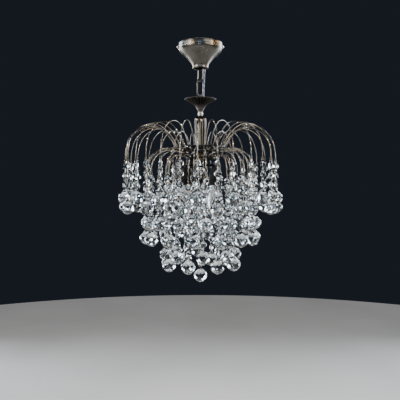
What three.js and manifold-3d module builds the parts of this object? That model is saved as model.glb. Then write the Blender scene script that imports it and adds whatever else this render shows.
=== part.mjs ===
// A small crystal waterfall chandelier that hangs on two chain links from a ceiling cup.
// Millimetres, +Z up. The origin is the centre of the ceiling plate's top face, where the fitting meets the ceiling.
import * as THREE from "three";
import { mergeVertices } from "three/addons/utils/BufferGeometryUtils.js";
import Module from "manifold-3d";

const wasm = await Module();
wasm.setup();

// Driving dimensions
const RIM_Z = -120; // plane of the drip pan's rim, which the heights of the body are counted from
const GAP = 0.3; // clearance between pieces that touch
const CUP_RADIUS = 47;
const CUP_BOTTOM_Z = -54;
const CUP_HOLE_RADIUS = 13;
const CUP_WALL = 1.3;
const PLATE_RADIUS = CUP_RADIUS - CUP_WALL - 0.8;
const PLATE_THICKNESS = 3;
const PLATE_DEPTH = 11; // height of the turned-down edge that the cup screws bear on
const PLATE_EDGE = 2.5;
const CHAIN_WIRE_RADIUS = 1.5;
const LINK_WIDTH = 20;
const LINK_HEIGHT = 40;
const LOWER_LINK_AZIMUTH = 38; // degrees; the upper link stands square to it
const FLEX_RADIUS = 2.4;
const EYE_RADIUS = 6;
const EYE_WIRE_RADIUS = 1.75;
const HOOK_RADIUS = 6.5;
const HOOK_WIRE_RADIUS = 2;
const PAN_RADIUS = 33.5;
const PAN_FLUTES = 24;
const COLUMN_FLUTES = 10;
const STEM_RADIUS = 4;
const STEM_BORE = 2.8;
const STEM_HOLE = STEM_RADIUS + GAP;
const WIRE_RADIUS = 1.3;
const RING_WIRE_RADIUS = 2;
const BEAD_PITCH = 19.3;
const BEAD_RADIUS = 7;
const BALL_RADIUS = 15;
const BALL_DROP = 16.1; // from the last bead's ring down to the ball's centre
const HOOK_CLEARANCE = 0.5; // between a frond's tip and the strand that hangs from it
const LAMP_CIRCLE_RADIUS = 36;
const LAMP_COUNT = 3;
const FRONT = -90; // degrees of azimuth of the side that faces a viewer on -Y

// Each tier of fronds: the ring they are brazed on, the arch of one frond and the strands on their tips.
const OUTER = {
  count: 28,
  phase: -2,
  ringRadius: 54,
  ringZ: -104,
  arch: [[54, -104], [61, -84], [80, -57.6], [105, -57.6], [137, -57.6], [160, -84], [160, -126]],
  tipZ: [-136, -136],
  beads: [3, 4],
};
const MIDDLE = {
  count: 28,
  phase: 5.2,
  ringRadius: 47,
  ringZ: -113,
  arch: [[47, -113], [52, -109], [62, -107], [76, -107], [99, -107], [115, -128], [115, -152]],
  tipZ: [-169, -163],
  beads: [4, 6],
};
const LOWER = {
  count: 16,
  phase: 4.5,
  ringRadius: 30,
  ringZ: -125.4,
  arch: [[30, -125.4], [38, -120.5], [42, -119.5], [52, -119.5], [66, -119.5], [73, -135], [73, -158]],
  tipZ: [-180, -180],
  beads: [7, 8],
};

const radians = THREE.MathUtils.degToRad;

function metal(colour, roughness) {
  return new THREE.MeshStandardMaterial({ color: colour, roughness, metalness: 0.9 });
}

function plastic(colour) {
  return new THREE.MeshStandardMaterial({ color: colour, roughness: 0.45, metalness: 0 });
}

function crystal() {
  return new THREE.MeshStandardMaterial({ color: 0xe6edf2, roughness: 0.05, metalness: 0 });
}

const PEWTER = metal(0x8f8a80, 0.32);
const DARK_PEWTER = metal(0x3a3a3c, 0.4);
const NICKEL = metal(0xb9b2a4, 0.25);
const BRASS = metal(0xa4835a, 0.35);

const group = new THREE.Group();

function add(name, geometry, material) {
  const mesh = new THREE.Mesh(geometry, material.clone());
  mesh.name = name;
  group.add(mesh);
  return mesh;
}

// Geometry as a manifold solid, and back.
function solid(geometry) {
  const bare = geometry.clone();
  bare.deleteAttribute("normal");
  bare.deleteAttribute("uv");
  const merged = mergeVertices(bare, 1e-3);
  const vertProperties = merged.attributes.position.array;
  const triVerts = new Uint32Array(merged.index.array);
  return new wasm.Manifold(new wasm.Mesh({ numProp: 3, vertProperties, triVerts }));
}

function geometryOf(manifold) {
  const { vertProperties, triVerts } = manifold.getMesh();
  const geometry = new THREE.BufferGeometry();
  geometry.setAttribute("position", new THREE.BufferAttribute(vertProperties, 3));
  geometry.setIndex(new THREE.BufferAttribute(triVerts, 1));
  return geometry;
}

// Joins a list of geometries pair by pair.
function joined(geometries) {
  let solids = geometries.map(solid);
  while (solids.length > 1) {
    const next = [];
    for (let i = 0; i < solids.length; i += 2) {
      next.push(i + 1 < solids.length ? solids[i].add(solids[i + 1]) : solids[i]);
    }
    solids = next;
  }
  return geometryOf(solids[0]);
}

function cut(geometry, tools) {
  return geometryOf(tools.reduce((left, tool) => left.subtract(solid(tool)), solid(geometry)));
}

// A solid of revolution about Z from [radius, z] points, given from the bottom of the outside upwards.
function turned(profile, segments) {
  const points = profile.map(([radius, z]) => new THREE.Vector2(radius, z));
  return new THREE.LatheGeometry(points, segments).rotateX(Math.PI / 2);
}

function cylinder(radius, bottom, top, segments) {
  const height = top - bottom;
  const geometry = new THREE.CylinderGeometry(radius, radius, height, segments);
  return geometry.rotateX(Math.PI / 2).translate(0, 0, bottom + height / 2);
}

// A hollow cylinder: its profile closes on itself.
function tube(outer, inner, bottom, top, segments) {
  const profile = [[inner, bottom], [outer, bottom], [outer, top], [inner, top], [inner, bottom]];
  return turned(profile, segments);
}

// A round wire along an open curve, with flat ends.
function swept(curve, radius, sides, steps) {
  const section = new THREE.Shape();
  for (let i = 0; i < sides; i += 1) {
    const angle = (2 * Math.PI * i) / sides;
    const place = [radius * Math.cos(angle), radius * Math.sin(angle)];
    if (i) section.lineTo(...place);
    else section.moveTo(...place);
  }
  return new THREE.ExtrudeGeometry(section, { steps, bevelEnabled: false, extrudePath: curve });
}

// A chain link standing in the XZ plane with its centre at the origin: a torus with its two halves drawn apart.
function linkGeometry() {
  const bend = LINK_WIDTH / 2 - CHAIN_WIRE_RADIUS;
  const leg = LINK_HEIGHT / 2 - LINK_WIDTH / 2;
  const geometry = new THREE.TorusGeometry(bend, CHAIN_WIRE_RADIUS, 6, 18);
  const place = geometry.attributes.position;
  for (let i = 0; i < place.count; i += 1) {
    const angle = Math.atan2(place.getY(i), place.getX(i));
    const share = THREE.MathUtils.clamp(Math.sin(angle) * 4, -1, 1);
    place.setY(i, place.getY(i) + share * leg);
  }
  return geometry.rotateX(Math.PI / 2);
}

// Azimuth of a frond, counted to the viewer's right from the front, with the small scatter of hand-bent wire.
function azimuthOf(tier, index) {
  const scatter = 0.08 * Math.sin(2.4 * index);
  return radians(FRONT + tier.phase + ((index + scatter) * 360) / tier.count);
}

function tipOf(tier, index) {
  const radius = tier.arch[6][0];
  const angle = azimuthOf(tier, index);
  const z = RIM_Z + tier.tipZ[index % 2];
  return new THREE.Vector3(radius * Math.cos(angle), radius * Math.sin(angle), z);
}

// One bent wire from its ring over the arch and straight down to its tip.
function frondGeometry(tier, index, steps) {
  const angle = azimuthOf(tier, index);
  const point = ([radius, z]) =>
    new THREE.Vector3(radius * Math.cos(angle), radius * Math.sin(angle), RIM_Z + z);
  const arch = tier.arch.map(point);
  const path = new THREE.CurvePath();
  path.add(new THREE.CubicBezierCurve3(...arch.slice(0, 4)));
  path.add(new THREE.CubicBezierCurve3(...arch.slice(3, 7)));
  path.add(new THREE.LineCurve3(arch[6], tipOf(tier, index)));
  return swept(path, WIRE_RADIUS, 4, steps);
}

// A faceted ball with the pointed neck that its pin goes through, centred on its own middle.
function ballProfile() {
  return [
    [0, -BALL_RADIUS - 0.6],
    [0.72 * BALL_RADIUS, -0.69 * BALL_RADIUS],
    [BALL_RADIUS, 0],
    [0.72 * BALL_RADIUS, 0.69 * BALL_RADIUS],
    [0, BALL_RADIUS + 4.5],
  ];
}

// A strand hanging down from its tip: linked beads that pinch to their pins, and the ball.
function strandGeometry(tip, beads) {
  const profile = [[0, -HOOK_CLEARANCE]];
  for (let bead = 0; bead < beads; bead += 1) {
    const top = -bead * BEAD_PITCH;
    profile.push([BEAD_RADIUS, top - 2.5 - BEAD_RADIUS], [1.2, top - BEAD_PITCH + 1]);
  }
  const ballZ = -beads * BEAD_PITCH - BALL_DROP;
  profile.push([0, ballZ]);
  const string = turned(profile.reverse(), 4);
  const ball = turned(ballProfile(), 6).translate(0, 0, ballZ);
  return geometryOf(solid(string).add(solid(ball))).translate(tip.x, tip.y, tip.z);
}

// A strand of an inner tier, fixed to its frond: a plain rod nearly as wide as the beads, and the ball.
function fixedStrand(tip, beads) {
  const ballZ = -beads * BEAD_PITCH - BALL_DROP;
  const profile = [
    [0, ballZ - BALL_RADIUS - 0.6],
    [BALL_RADIUS, ballZ - 3],
    [BALL_RADIUS, ballZ + 3],
    [1.5, ballZ + BALL_RADIUS + 3],
    [BEAD_RADIUS - 1.5, ballZ + BALL_RADIUS + 5],
    [BEAD_RADIUS - 1.5, -5],
    [0, 2],
  ];
  return turned(profile, 5).translate(tip.x, tip.y, tip.z);
}

function tierRing(tier) {
  const ring = new THREE.TorusGeometry(tier.ringRadius, RING_WIRE_RADIUS, 4, tier.count);
  return ring.rotateZ(azimuthOf(tier, 0)).translate(0, 0, RIM_Z + tier.ringZ);
}

// Ceiling fitting

function addCeilingPlate() {
  const plate = turned(
    [
      [0, -PLATE_THICKNESS],
      [PLATE_RADIUS - PLATE_EDGE, -PLATE_THICKNESS],
      [PLATE_RADIUS - PLATE_EDGE, -PLATE_DEPTH],
      [PLATE_RADIUS, -PLATE_DEPTH],
      [PLATE_RADIUS, 0],
      [0, 0],
    ],
    28,
  );
  const holes = [-20, 20].map((y) => cylinder(2.5, -PLATE_THICKNESS - 1, 1, 12).translate(0, y, 0));
  const bore = cylinder(3 + GAP, -PLATE_THICKNESS - 1, -1, 12); // blind, so the top face stays whole
  const sides = [-1, 1].map((side) => cupScrewHole(side));
  add("ceiling_plate", cut(plate, [...holes, bore, ...sides]), DARK_PEWTER);
}

const CUP_SCREW_Z = -7;

function cupScrewHole(side) {
  return cylinder(2, 0, 12, 10).rotateY((side * Math.PI) / 2).translate(side * 38, 0, CUP_SCREW_Z);
}

function addCupScrew(name, side) {
  const shank = cylinder(1.6, 0, 6.5, 10);
  const head = turned([[0, 6], [3.6, 6], [3.2, 8], [0, 9]], 12);
  const screw = joined([shank, head]).rotateY((side * Math.PI) / 2);
  add(name, screw.translate(side * (CUP_RADIUS - 5.6), 0, CUP_SCREW_Z), PEWTER);
}

function addCeilingCup() {
  const outside = [
    [CUP_HOLE_RADIUS, CUP_BOTTOM_Z],
    [CUP_HOLE_RADIUS + 4, CUP_BOTTOM_Z],
    [CUP_HOLE_RADIUS + 4.8, CUP_BOTTOM_Z + 8],
    [26, -35],
    [42, -20],
    [CUP_RADIUS, -13],
    [CUP_RADIUS, -0.4],
  ];
  const inside = [
    [CUP_RADIUS - CUP_WALL, -0.4],
    [CUP_RADIUS - CUP_WALL, -12.6],
    [41, -18.8],
    [25, -33.8],
    [CUP_HOLE_RADIUS + 3.4, CUP_BOTTOM_Z + 8.4],
    [CUP_HOLE_RADIUS, CUP_BOTTOM_Z + 3],
    [CUP_HOLE_RADIUS, CUP_BOTTOM_Z],
  ];
  const cup = turned([...outside, ...inside], 28);
  add("ceiling_cup", cut(cup, [cupScrewHole(-1), cupScrewHole(1)]), PEWTER);
}

const HOOK_CENTRE_Z = -41.4;

function addCeilingHook() {
  const ring = new THREE.TorusGeometry(HOOK_RADIUS, HOOK_WIRE_RADIUS, 6, 14).rotateX(Math.PI / 2);
  ring.rotateZ(radians(LOWER_LINK_AZIMUTH)).translate(0, 0, HOOK_CENTRE_Z);
  const shank = cylinder(3, HOOK_CENTRE_Z + HOOK_RADIUS - 1, -1 - GAP, 10);
  add("ceiling_hook", joined([ring, shank]), PEWTER);
}

function addHookNut() {
  const hexagon = cylinder(6, -8.3, -PLATE_THICKNESS - GAP, 6);
  add("hook_nut", cut(hexagon, [cylinder(3 + GAP, -9, 0, 12)]), PEWTER);
}

const TERMINAL_X = 17;

function addTerminalBlock() {
  const block = new THREE.BoxGeometry(14, 18, 11).translate(TERMINAL_X, 0, -PLATE_THICKNESS - GAP - 5.5);
  const entry = cylinder(FLEX_RADIUS + GAP, -20, -11, 10).translate(TERMINAL_X, 0, 0);
  add("terminal_block", cut(block, [entry]), plastic(0xe8e4da));
}

// Chain and flex

const LOWER_LINK_Z = RIM_Z + 4 + LINK_HEIGHT / 2;
const UPPER_LINK_Z = LOWER_LINK_Z + LINK_HEIGHT - 2 * CHAIN_WIRE_RADIUS - 2 * CHAIN_WIRE_RADIUS - 0.4;

function addLinks() {
  const lower = linkGeometry().rotateZ(radians(LOWER_LINK_AZIMUTH)).translate(0, 0, LOWER_LINK_Z);
  const upper = linkGeometry().rotateZ(radians(LOWER_LINK_AZIMUTH - 90)).translate(0, 0, UPPER_LINK_Z);
  add("chain_link_lower", lower, PEWTER);
  add("chain_link_upper", upper, PEWTER);
}

// The flex stands between the planes of the eye and of the lower link, and leans out to the terminal block.
const FLEX_ROUTE = [
  [6.1, -0.75, RIM_Z - 11],
  [6.1, -0.75, RIM_Z + 5],
  [6.4, -0.7, RIM_Z + 22],
  [7.2, -0.5, RIM_Z + 40],
  [8, -0.3, RIM_Z + 56],
  [8.8, 0, RIM_Z + 70],
  [11.6, 0, RIM_Z + 84],
  [15.2, 0, RIM_Z + 95],
  [TERMINAL_X, 0, RIM_Z + 107],
];

function addFlex() {
  const route = new THREE.CatmullRomCurve3(FLEX_ROUTE.map((point) => new THREE.Vector3(...point)));
  add("flex", swept(route, FLEX_RADIUS, 8, 14), plastic(0xb9c2cc));
}

// Body

const EYE_CENTRE_Z = RIM_Z + 3.2;

function addSuspensionEye() {
  const ring = new THREE.TorusGeometry(EYE_RADIUS, EYE_WIRE_RADIUS, 6, 14).rotateX(Math.PI / 2);
  ring.rotateZ(radians(LOWER_LINK_AZIMUTH - 90)).translate(0, 0, EYE_CENTRE_Z);
  const shank = cylinder(2, RIM_Z - 10, EYE_CENTRE_Z - EYE_RADIUS + 1, 10);
  add("suspension_eye", joined([ring, shank]), PEWTER);
}

// A hollow coupler: the eye's shank through its lid, the flex through a hole beside it, the stem into its neck.
function addCoupler() {
  const shell = turned(
    [
      [STEM_HOLE, RIM_Z - 19],
      [6.2, RIM_Z - 19],
      [6.2, RIM_Z - 13],
      [10, RIM_Z - 12],
      [10, RIM_Z - 5.2],
      [2 + GAP, RIM_Z - 5.2],
      [2 + GAP, RIM_Z - 7.2],
      [9, RIM_Z - 7.2],
      [9, RIM_Z - 11.6],
      [STEM_HOLE, RIM_Z - 12.4],
      [STEM_HOLE, RIM_Z - 19],
    ],
    16,
  );
  const entry = cylinder(FLEX_RADIUS + GAP, RIM_Z - 9, RIM_Z - 4, 12);
  add("coupler", cut(shell, [entry.translate(FLEX_ROUTE[0][0], FLEX_ROUTE[0][1], 0)]), PEWTER);
}

// The pan's profile, waved around its axis; the waves fade out towards the neck.
function addDripPan() {
  const profile = [
    [STEM_HOLE, -26],
    [5.4, -26],
    [8.1, -20.5],
    [11.6, -14.5],
    [20.8, -7.6],
    [PAN_RADIUS, 0],
    [PAN_RADIUS - 1.6, 0.2],
    [20, -6.2],
    [10.7, -13],
    [7.2, -19.6],
    [STEM_HOLE, -20.2],
    [STEM_HOLE, -26],
  ];
  const geometry = turned(profile.map(([radius, z]) => [radius, RIM_Z + z]), 2 * PAN_FLUTES);
  const place = geometry.attributes.position;
  for (let i = 0; i < place.count; i += 1) {
    const radius = Math.hypot(place.getX(i), place.getY(i));
    const wave = Math.cos(PAN_FLUTES * Math.atan2(place.getY(i), place.getX(i)));
    const depth = Math.max(0, (radius - 12) / (PAN_RADIUS - 12));
    place.setX(i, place.getX(i) * (1 + 0.015 * depth * wave));
    place.setY(i, place.getY(i) * (1 + 0.015 * depth * wave));
    place.setZ(i, place.getZ(i) + 0.5 * depth * wave);
  }
  add("drip_pan", geometry, DARK_PEWTER);
}

function addNeckCollar() {
  const profile = [
    [STEM_HOLE, -35.5],
    [4.9, -35.5],
    [5.5, -31],
    [4.9, -26.4],
    [STEM_HOLE, -26.4],
    [STEM_HOLE, -35.5],
  ];
  add("neck_collar", turned(profile.map(([radius, z]) => [radius, RIM_Z + z]), 20), NICKEL);
}

function addStem() {
  add("stem_tube", tube(STEM_RADIUS, STEM_BORE, RIM_Z - 151, RIM_Z - 15, 16), PEWTER);
  add("inner_wires", cylinder(1.8, RIM_Z - 143, RIM_Z - 13.5, 8), plastic(0xd8d8d4));
}

function addColumn() {
  const profile = [
    [STEM_HOLE, -117],
    [9.2, -117],
    [9.6, -112],
    [10.6, -87],
    [11.7, -65],
    [12.4, -48],
    [12.3, -43],
    [11, -39.5],
    [7.5, -37],
    [STEM_HOLE, -36],
    [STEM_HOLE, -117],
  ];
  const geometry = turned(profile.map(([radius, z]) => [radius, RIM_Z + z]), 2 * COLUMN_FLUTES);
  const place = geometry.attributes.position;
  for (let i = 0; i < place.count; i += 1) {
    const radius = Math.hypot(place.getX(i), place.getY(i));
    const wave = Math.cos(COLUMN_FLUTES * Math.atan2(place.getY(i), place.getX(i)));
    const depth = radius > 7.4 ? 0.045 : 0;
    place.setX(i, place.getX(i) * (1 + depth * wave));
    place.setY(i, place.getY(i) * (1 + depth * wave));
  }
  add("column", geometry, PEWTER);
}

function addColumnFoot() {
  const profile = [
    [STEM_HOLE, -131],
    [8.4, -131],
    [9.8, -128.5],
    [8, -126],
    [7.4, -121],
    [9.4, -119.5],
    [9.4, -117.4],
    [STEM_HOLE, -117.4],
    [STEM_HOLE, -131],
  ];
  add("column_foot", turned(profile.map(([radius, z]) => [radius, RIM_Z + z]), 20), BRASS);
}

// The boss under the column, with arms that rise to the ring of the outer tier.
const SPIDER_ARMS = 6;
const ARM_FOOT = [9, -134.5];
const ARM_TIP = [51.2, -105.6];

function addHubSpider() {
  const boss = tube(12, STEM_HOLE, RIM_Z - 137.5, RIM_Z - 131.4, 20);
  const run = ARM_TIP[0] - ARM_FOOT[0];
  const rise = ARM_TIP[1] - ARM_FOOT[1];
  const slope = Math.atan2(rise, run);
  const arms = [];
  for (let i = 0; i < SPIDER_ARMS; i += 1) {
    const arm = new THREE.BoxGeometry(Math.hypot(run, rise), 5, 2).rotateY(-slope);
    arm.translate(ARM_FOOT[0] + run / 2, 0, RIM_Z + ARM_FOOT[1] + rise / 2);
    arms.push(arm.rotateZ((i * Math.PI) / 3));
  }
  add("hub_spider", joined([boss, ...arms]), DARK_PEWTER);
}

function addOuterFronds() {
  const wires = [];
  for (let i = 0; i < OUTER.count; i += 1) wires.push(frondGeometry(OUTER, i, 8));
  add("outer_fronds", joined([tierRing(OUTER), ...wires]), NICKEL);
}

// An inner tier: ring, fronds and their strands joined in one piece.
function addInnerTier(name, tier, steps) {
  const pieces = [tierRing(tier)];
  for (let i = 0; i < tier.count; i += 1) {
    pieces.push(frondGeometry(tier, i, steps));
    pieces.push(fixedStrand(tipOf(tier, i), tier.beads[i % 2]));
  }
  add(name, joined(pieces), crystal());
}

// Lamps

function lampPlace(index) {
  const angle = radians(90 + (index * 360) / LAMP_COUNT);
  return [LAMP_CIRCLE_RADIUS * Math.cos(angle), LAMP_CIRCLE_RADIUS * Math.sin(angle)];
}

function addLampSpider() {
  const pieces = [tube(9, STEM_HOLE, RIM_Z - 145, RIM_Z - 138, 20)];
  for (let i = 0; i < LAMP_COUNT; i += 1) {
    const reach = LAMP_CIRCLE_RADIUS - 6;
    const arm = cylinder(2.6, 0, reach, 8).rotateY(Math.PI / 2).translate(6, 0, RIM_Z - 141.5);
    pieces.push(arm.rotateZ(radians(90 + (i * 360) / LAMP_COUNT)));
    const [x, y] = lampPlace(i);
    pieces.push(cylinder(4, RIM_Z - 148, RIM_Z - 139.5, 10).translate(x, y, 0));
  }
  add("lamp_spider", joined(pieces), DARK_PEWTER);
}

function addLamp(index) {
  const [x, y] = lampPlace(index);
  const holder = turned(
    [
      [8, -184],
      [13.5, -184],
      [13.5, -160],
      [10.5, -155],
      [10.5, -148.4],
      [0, -148.4],
      [0, -158],
      [8, -158],
      [8, -184],
    ],
    16,
  );
  const bulb = turned(
    [
      [0, -262],
      [3, -259],
      [11, -240],
      [17, -219],
      [15.5, -205],
      [10, -191],
      [7.5, -184.6],
      [7.2, -160.5],
      [3, -159],
      [0, -159],
    ],
    14,
  );
  add(`lampholder_${index + 1}`, holder.translate(x, y, RIM_Z), plastic(0x17181a));
  add(`bulb_${index + 1}`, bulb.translate(x, y, RIM_Z), crystal());
}

function addFinial() {
  const profile = [
    [0, -166],
    [2, -164.5],
    [2.4, -161],
    [7.5, -156],
    [8.5, -150],
    [7, -145.4],
    [STEM_HOLE, -145.4],
    [STEM_HOLE, -151.6],
    [0, -151.6],
  ];
  add("finial", turned(profile.map(([radius, z]) => [radius, RIM_Z + z]), 20), NICKEL);
}

// Strands that swing on their tips

const CENTRE_TIP = new THREE.Vector3(0, 0, RIM_Z - 167);
const CENTRE_BEADS = 10;

function addStrands() {
  add("centre_strand", strandGeometry(CENTRE_TIP, CENTRE_BEADS), crystal());
  for (let i = 0; i < OUTER.count; i += 1) {
    const name = `outer_strand_${String(i + 1).padStart(2, "0")}`;
    add(name, strandGeometry(tipOf(OUTER, i), OUTER.beads[i % 2]), crystal());
  }
}

addCeilingPlate();
addCeilingCup();
addCupScrew("cup_screw_left", -1);
addCupScrew("cup_screw_right", 1);
addCeilingHook();
addHookNut();
addTerminalBlock();
addLinks();
addFlex();
addSuspensionEye();
addCoupler();
addDripPan();
addNeckCollar();
addStem();
addColumn();
addColumnFoot();
addHubSpider();
addOuterFronds();
addInnerTier("middle_tier", MIDDLE, 7);
addInnerTier("lower_tier", LOWER, 6);
addLampSpider();
for (let i = 0; i < LAMP_COUNT; i += 1) addLamp(i);
addFinial();
addStrands();

export default group;
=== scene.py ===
"""The crystal waterfall chandelier in full detail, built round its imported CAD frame.
Shapes are given in millimetres, in the frame's own axes, and scaled to metres as each piece is made."""

import math
import random

import bmesh
import bpy
from mathutils import Matrix, Vector


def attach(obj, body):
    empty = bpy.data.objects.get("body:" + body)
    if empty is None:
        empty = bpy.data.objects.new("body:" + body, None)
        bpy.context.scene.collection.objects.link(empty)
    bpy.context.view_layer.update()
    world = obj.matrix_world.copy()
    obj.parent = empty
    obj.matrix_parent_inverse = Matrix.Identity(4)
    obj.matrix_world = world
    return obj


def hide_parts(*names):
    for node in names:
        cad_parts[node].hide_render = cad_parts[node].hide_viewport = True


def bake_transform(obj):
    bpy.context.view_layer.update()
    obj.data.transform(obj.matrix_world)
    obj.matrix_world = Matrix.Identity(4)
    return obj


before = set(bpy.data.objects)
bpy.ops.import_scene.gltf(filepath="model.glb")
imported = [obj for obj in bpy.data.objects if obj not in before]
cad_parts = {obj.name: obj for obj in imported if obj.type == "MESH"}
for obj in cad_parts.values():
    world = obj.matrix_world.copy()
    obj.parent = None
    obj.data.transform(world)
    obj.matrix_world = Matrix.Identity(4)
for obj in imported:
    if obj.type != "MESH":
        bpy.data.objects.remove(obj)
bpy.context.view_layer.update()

MM = 0.001
RIM_Z = -120.0  # plane of the drip pan's rim; heights on the body are counted from it
FRONT = -90.0  # azimuth of the side towards -Y, in degrees

# A tier's arch is two Bezier curves on end, as (radius, height). Its strands alternate between two counts of
# beads and two heights of tip. The phase is that of the first frond, in degrees from the front.
OUTER = {
    "count": 28, "phase": -2.0, "ring": (54.0, -104.0), "beads": (3, 4), "tip_z": (-136.0, -136.0),
    "arch": ((54, -104), (61, -84), (80, -57.6), (105, -57.6), (137, -57.6), (160, -84), (160, -126)),
}
MIDDLE = {
    "count": 28, "phase": 5.2, "ring": (47.0, -113.0), "beads": (4, 6), "tip_z": (-169.0, -163.0),
    "arch": ((47, -113), (52, -109), (62, -107), (76, -107), (99, -107), (115, -128), (115, -152)),
}
LOWER = {
    "count": 16, "phase": 4.5, "ring": (30.0, -125.4), "beads": (7, 8), "tip_z": (-180.0, -180.0),
    "arch": ((30, -125.4), (38, -120.5), (42, -119.5), (52, -119.5), (66, -119.5), (73, -135), (73, -158)),
}
CENTRE_TIP = Vector((0.0, 0.0, RIM_Z - 167.0))
CENTRE_BEADS = 10

# The flex's route, the same points as in the CAD.
FLEX_POINTS = (
    (6.1, -0.75, RIM_Z - 11), (6.1, -0.75, RIM_Z + 5), (6.4, -0.7, RIM_Z + 22), (7.2, -0.5, RIM_Z + 40),
    (8, -0.3, RIM_Z + 56), (8.8, 0, RIM_Z + 70), (11.6, 0, RIM_Z + 84), (15.2, 0, RIM_Z + 95),
    (17, 0, RIM_Z + 107),
)
FLEX_DIAMETER = 4.8

draw = random.Random(4107)


# ---------------------------------------------------------------- camera

CAMERA_PLACE = (-0.001, -1.18, -0.3227)
LENS = 49.5
SENSOR_WIDTH = 36
LENS_SHIFT = -0.015


def add_camera():
    camera = bpy.data.objects.new("camera", bpy.data.cameras.new("camera"))
    bpy.context.scene.collection.objects.link(camera)
    camera.location = CAMERA_PLACE
    camera.rotation_euler = (math.radians(90), 0, 0)
    camera.data.lens = LENS
    camera.data.sensor_width = SENSOR_WIDTH
    camera.data.shift_y = LENS_SHIFT
    bpy.context.scene.camera = camera


add_camera()


# ---------------------------------------------------------------- mesh tools

ON_AXIS = 1e-6  # a radius up to this is on the axis
EDGE_RADIUS = 0.45
SHARP_BEND = math.radians(30)
NEARLY_UPRIGHT = 0.9
DOME_LENGTH = 0.4  # the domed end of a wire, as shares of its radius
DOME_RADIUS = 0.7


class Shape:
    """Gathers the vertices and faces of one piece, in millimetres."""

    def __init__(self):
        self.vertices = []
        self.faces = []
        self.smooth = []

    def add(self, vertices, faces, smooth=True):
        base = len(self.vertices)
        self.vertices += [tuple(v) for v in vertices]
        self.faces += [tuple(base + i for i in face) for face in faces]
        self.smooth += [smooth] * len(faces)

    def piece(self, name, material):
        mesh = bpy.data.meshes.new(name)
        mesh.from_pydata([tuple(x * MM for x in v) for v in self.vertices], [], self.faces)
        mesh.polygons.foreach_set("use_smooth", self.smooth)
        mesh.materials.append(material)
        mesh.update()
        obj = bpy.data.objects.new(name, mesh)
        bpy.context.scene.collection.objects.link(obj)
        return obj


def transformed(vertices, matrix):
    return [matrix @ Vector(v) for v in vertices]


def grid_faces(rows, columns, close_rows=False):
    """Quads between rows of points, each row a closed ring of columns points."""
    last = rows if close_rows else rows - 1
    faces = []
    for i in range(last):
        a, b = i * columns, ((i + 1) % rows) * columns
        for j in range(columns):
            k = (j + 1) % columns
            faces.append((a + j, a + k, b + k, b + j))
    return faces


def lathe(shape, profile, segments, centre=(0, 0), wave=None):
    """Turns a profile of (radius, z) about a vertical axis. A profile that starts and ends on the axis makes
    a full solid, and any other one closes on itself. wave(radius, z, angle) gives a factor on the radius and
    a rise."""
    profile = rounded(profile)
    closed = profile[0][0] > ON_AXIS
    rings = profile if closed else profile[1:-1]
    vertices = []
    for radius, z in rings:
        for j in range(segments):
            angle = 2 * math.pi * j / segments
            factor, rise = wave(radius, z, angle) if wave else (1.0, 0.0)
            r = radius * factor
            x, y = centre[0] + r * math.cos(angle), centre[1] + r * math.sin(angle)
            vertices.append((x, y, z + rise))
    faces = grid_faces(len(rings), segments, close_rows=closed)
    if not closed:
        low, high = len(vertices), len(vertices) + 1
        vertices.append((centre[0], centre[1], profile[0][1]))
        vertices.append((centre[0], centre[1], profile[-1][1]))
        top = (len(rings) - 1) * segments
        for j in range(segments):
            k = (j + 1) % segments
            faces.append((low, k, j))
            faces.append((high, top + j, top + k))
    shape.add(vertices, faces)


def rounded(profile):
    """Each sharp corner of a profile as three points, so that its edge catches the light."""
    out = []
    count = len(profile)
    closed = profile[0][0] > ON_AXIS
    for i, point in enumerate(profile):
        if not closed and i in (0, count - 1):
            out.append(point)
            continue
        here = Vector(point)
        before = Vector(profile[i - 1]) - here
        after = Vector(profile[(i + 1) % count]) - here
        bend = math.pi - before.angle(after) if before.length and after.length else 0
        if bend < SHARP_BEND:
            out.append(point)
            continue
        reach = min(EDGE_RADIUS, before.length / 3, after.length / 3)
        a, b = here + before.normalized() * reach, here + after.normalized() * reach
        out += [tuple(a), tuple(here * 0.5 + (a + b) * 0.25), tuple(b)]
    return out


def frames(points, closed):
    """Side and up at each point of a line, turned as little as possible from one to the next."""
    count = len(points)
    tangents = []
    for i in range(count):
        if closed:
            step = points[(i + 1) % count] - points[i - 1]
        else:
            step = points[min(i + 1, count - 1)] - points[max(i - 1, 0)]
        tangents.append(step.normalized())
    helper = Vector((0, 0, 1)) if abs(tangents[0].z) < NEARLY_UPRIGHT else Vector((1, 0, 0))
    side = tangents[0].cross(helper).normalized()
    found = []
    for tangent in tangents:
        side = (side - tangent * side.dot(tangent)).normalized()
        found.append((side, tangent.cross(side)))
    return found


def domed(row, outwards):
    """A smaller row just past the end of a wire."""
    point, side, up, r = row
    return point + outwards.normalized() * r * DOME_LENGTH, side, up, r * DOME_RADIUS


def wire(shape, points, radius, sides, closed=False):
    """A round wire along a line of points, with domed open ends. radius is one number or a list of them, one
    for each point."""
    points = [Vector(p) for p in points]
    radii = radius if isinstance(radius, list) else [radius] * len(points)
    rows = [(point, side, up, r) for (side, up), point, r in zip(frames(points, closed), points, radii)]
    if not closed:
        first, last = domed(rows[0], points[0] - points[1]), domed(rows[-1], points[-1] - points[-2])
        rows = [first, *rows, last]
    vertices = []
    for point, side, up, r in rows:
        for j in range(sides):
            angle = 2 * math.pi * j / sides
            vertices.append(point + side * (r * math.cos(angle)) + up * (r * math.sin(angle)))
    faces = grid_faces(len(rows), sides, close_rows=closed)
    if not closed:
        faces.append(tuple(reversed(range(sides))))
        faces.append(tuple(range(len(vertices) - sides, len(vertices))))
    shape.add(vertices, faces)


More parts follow.
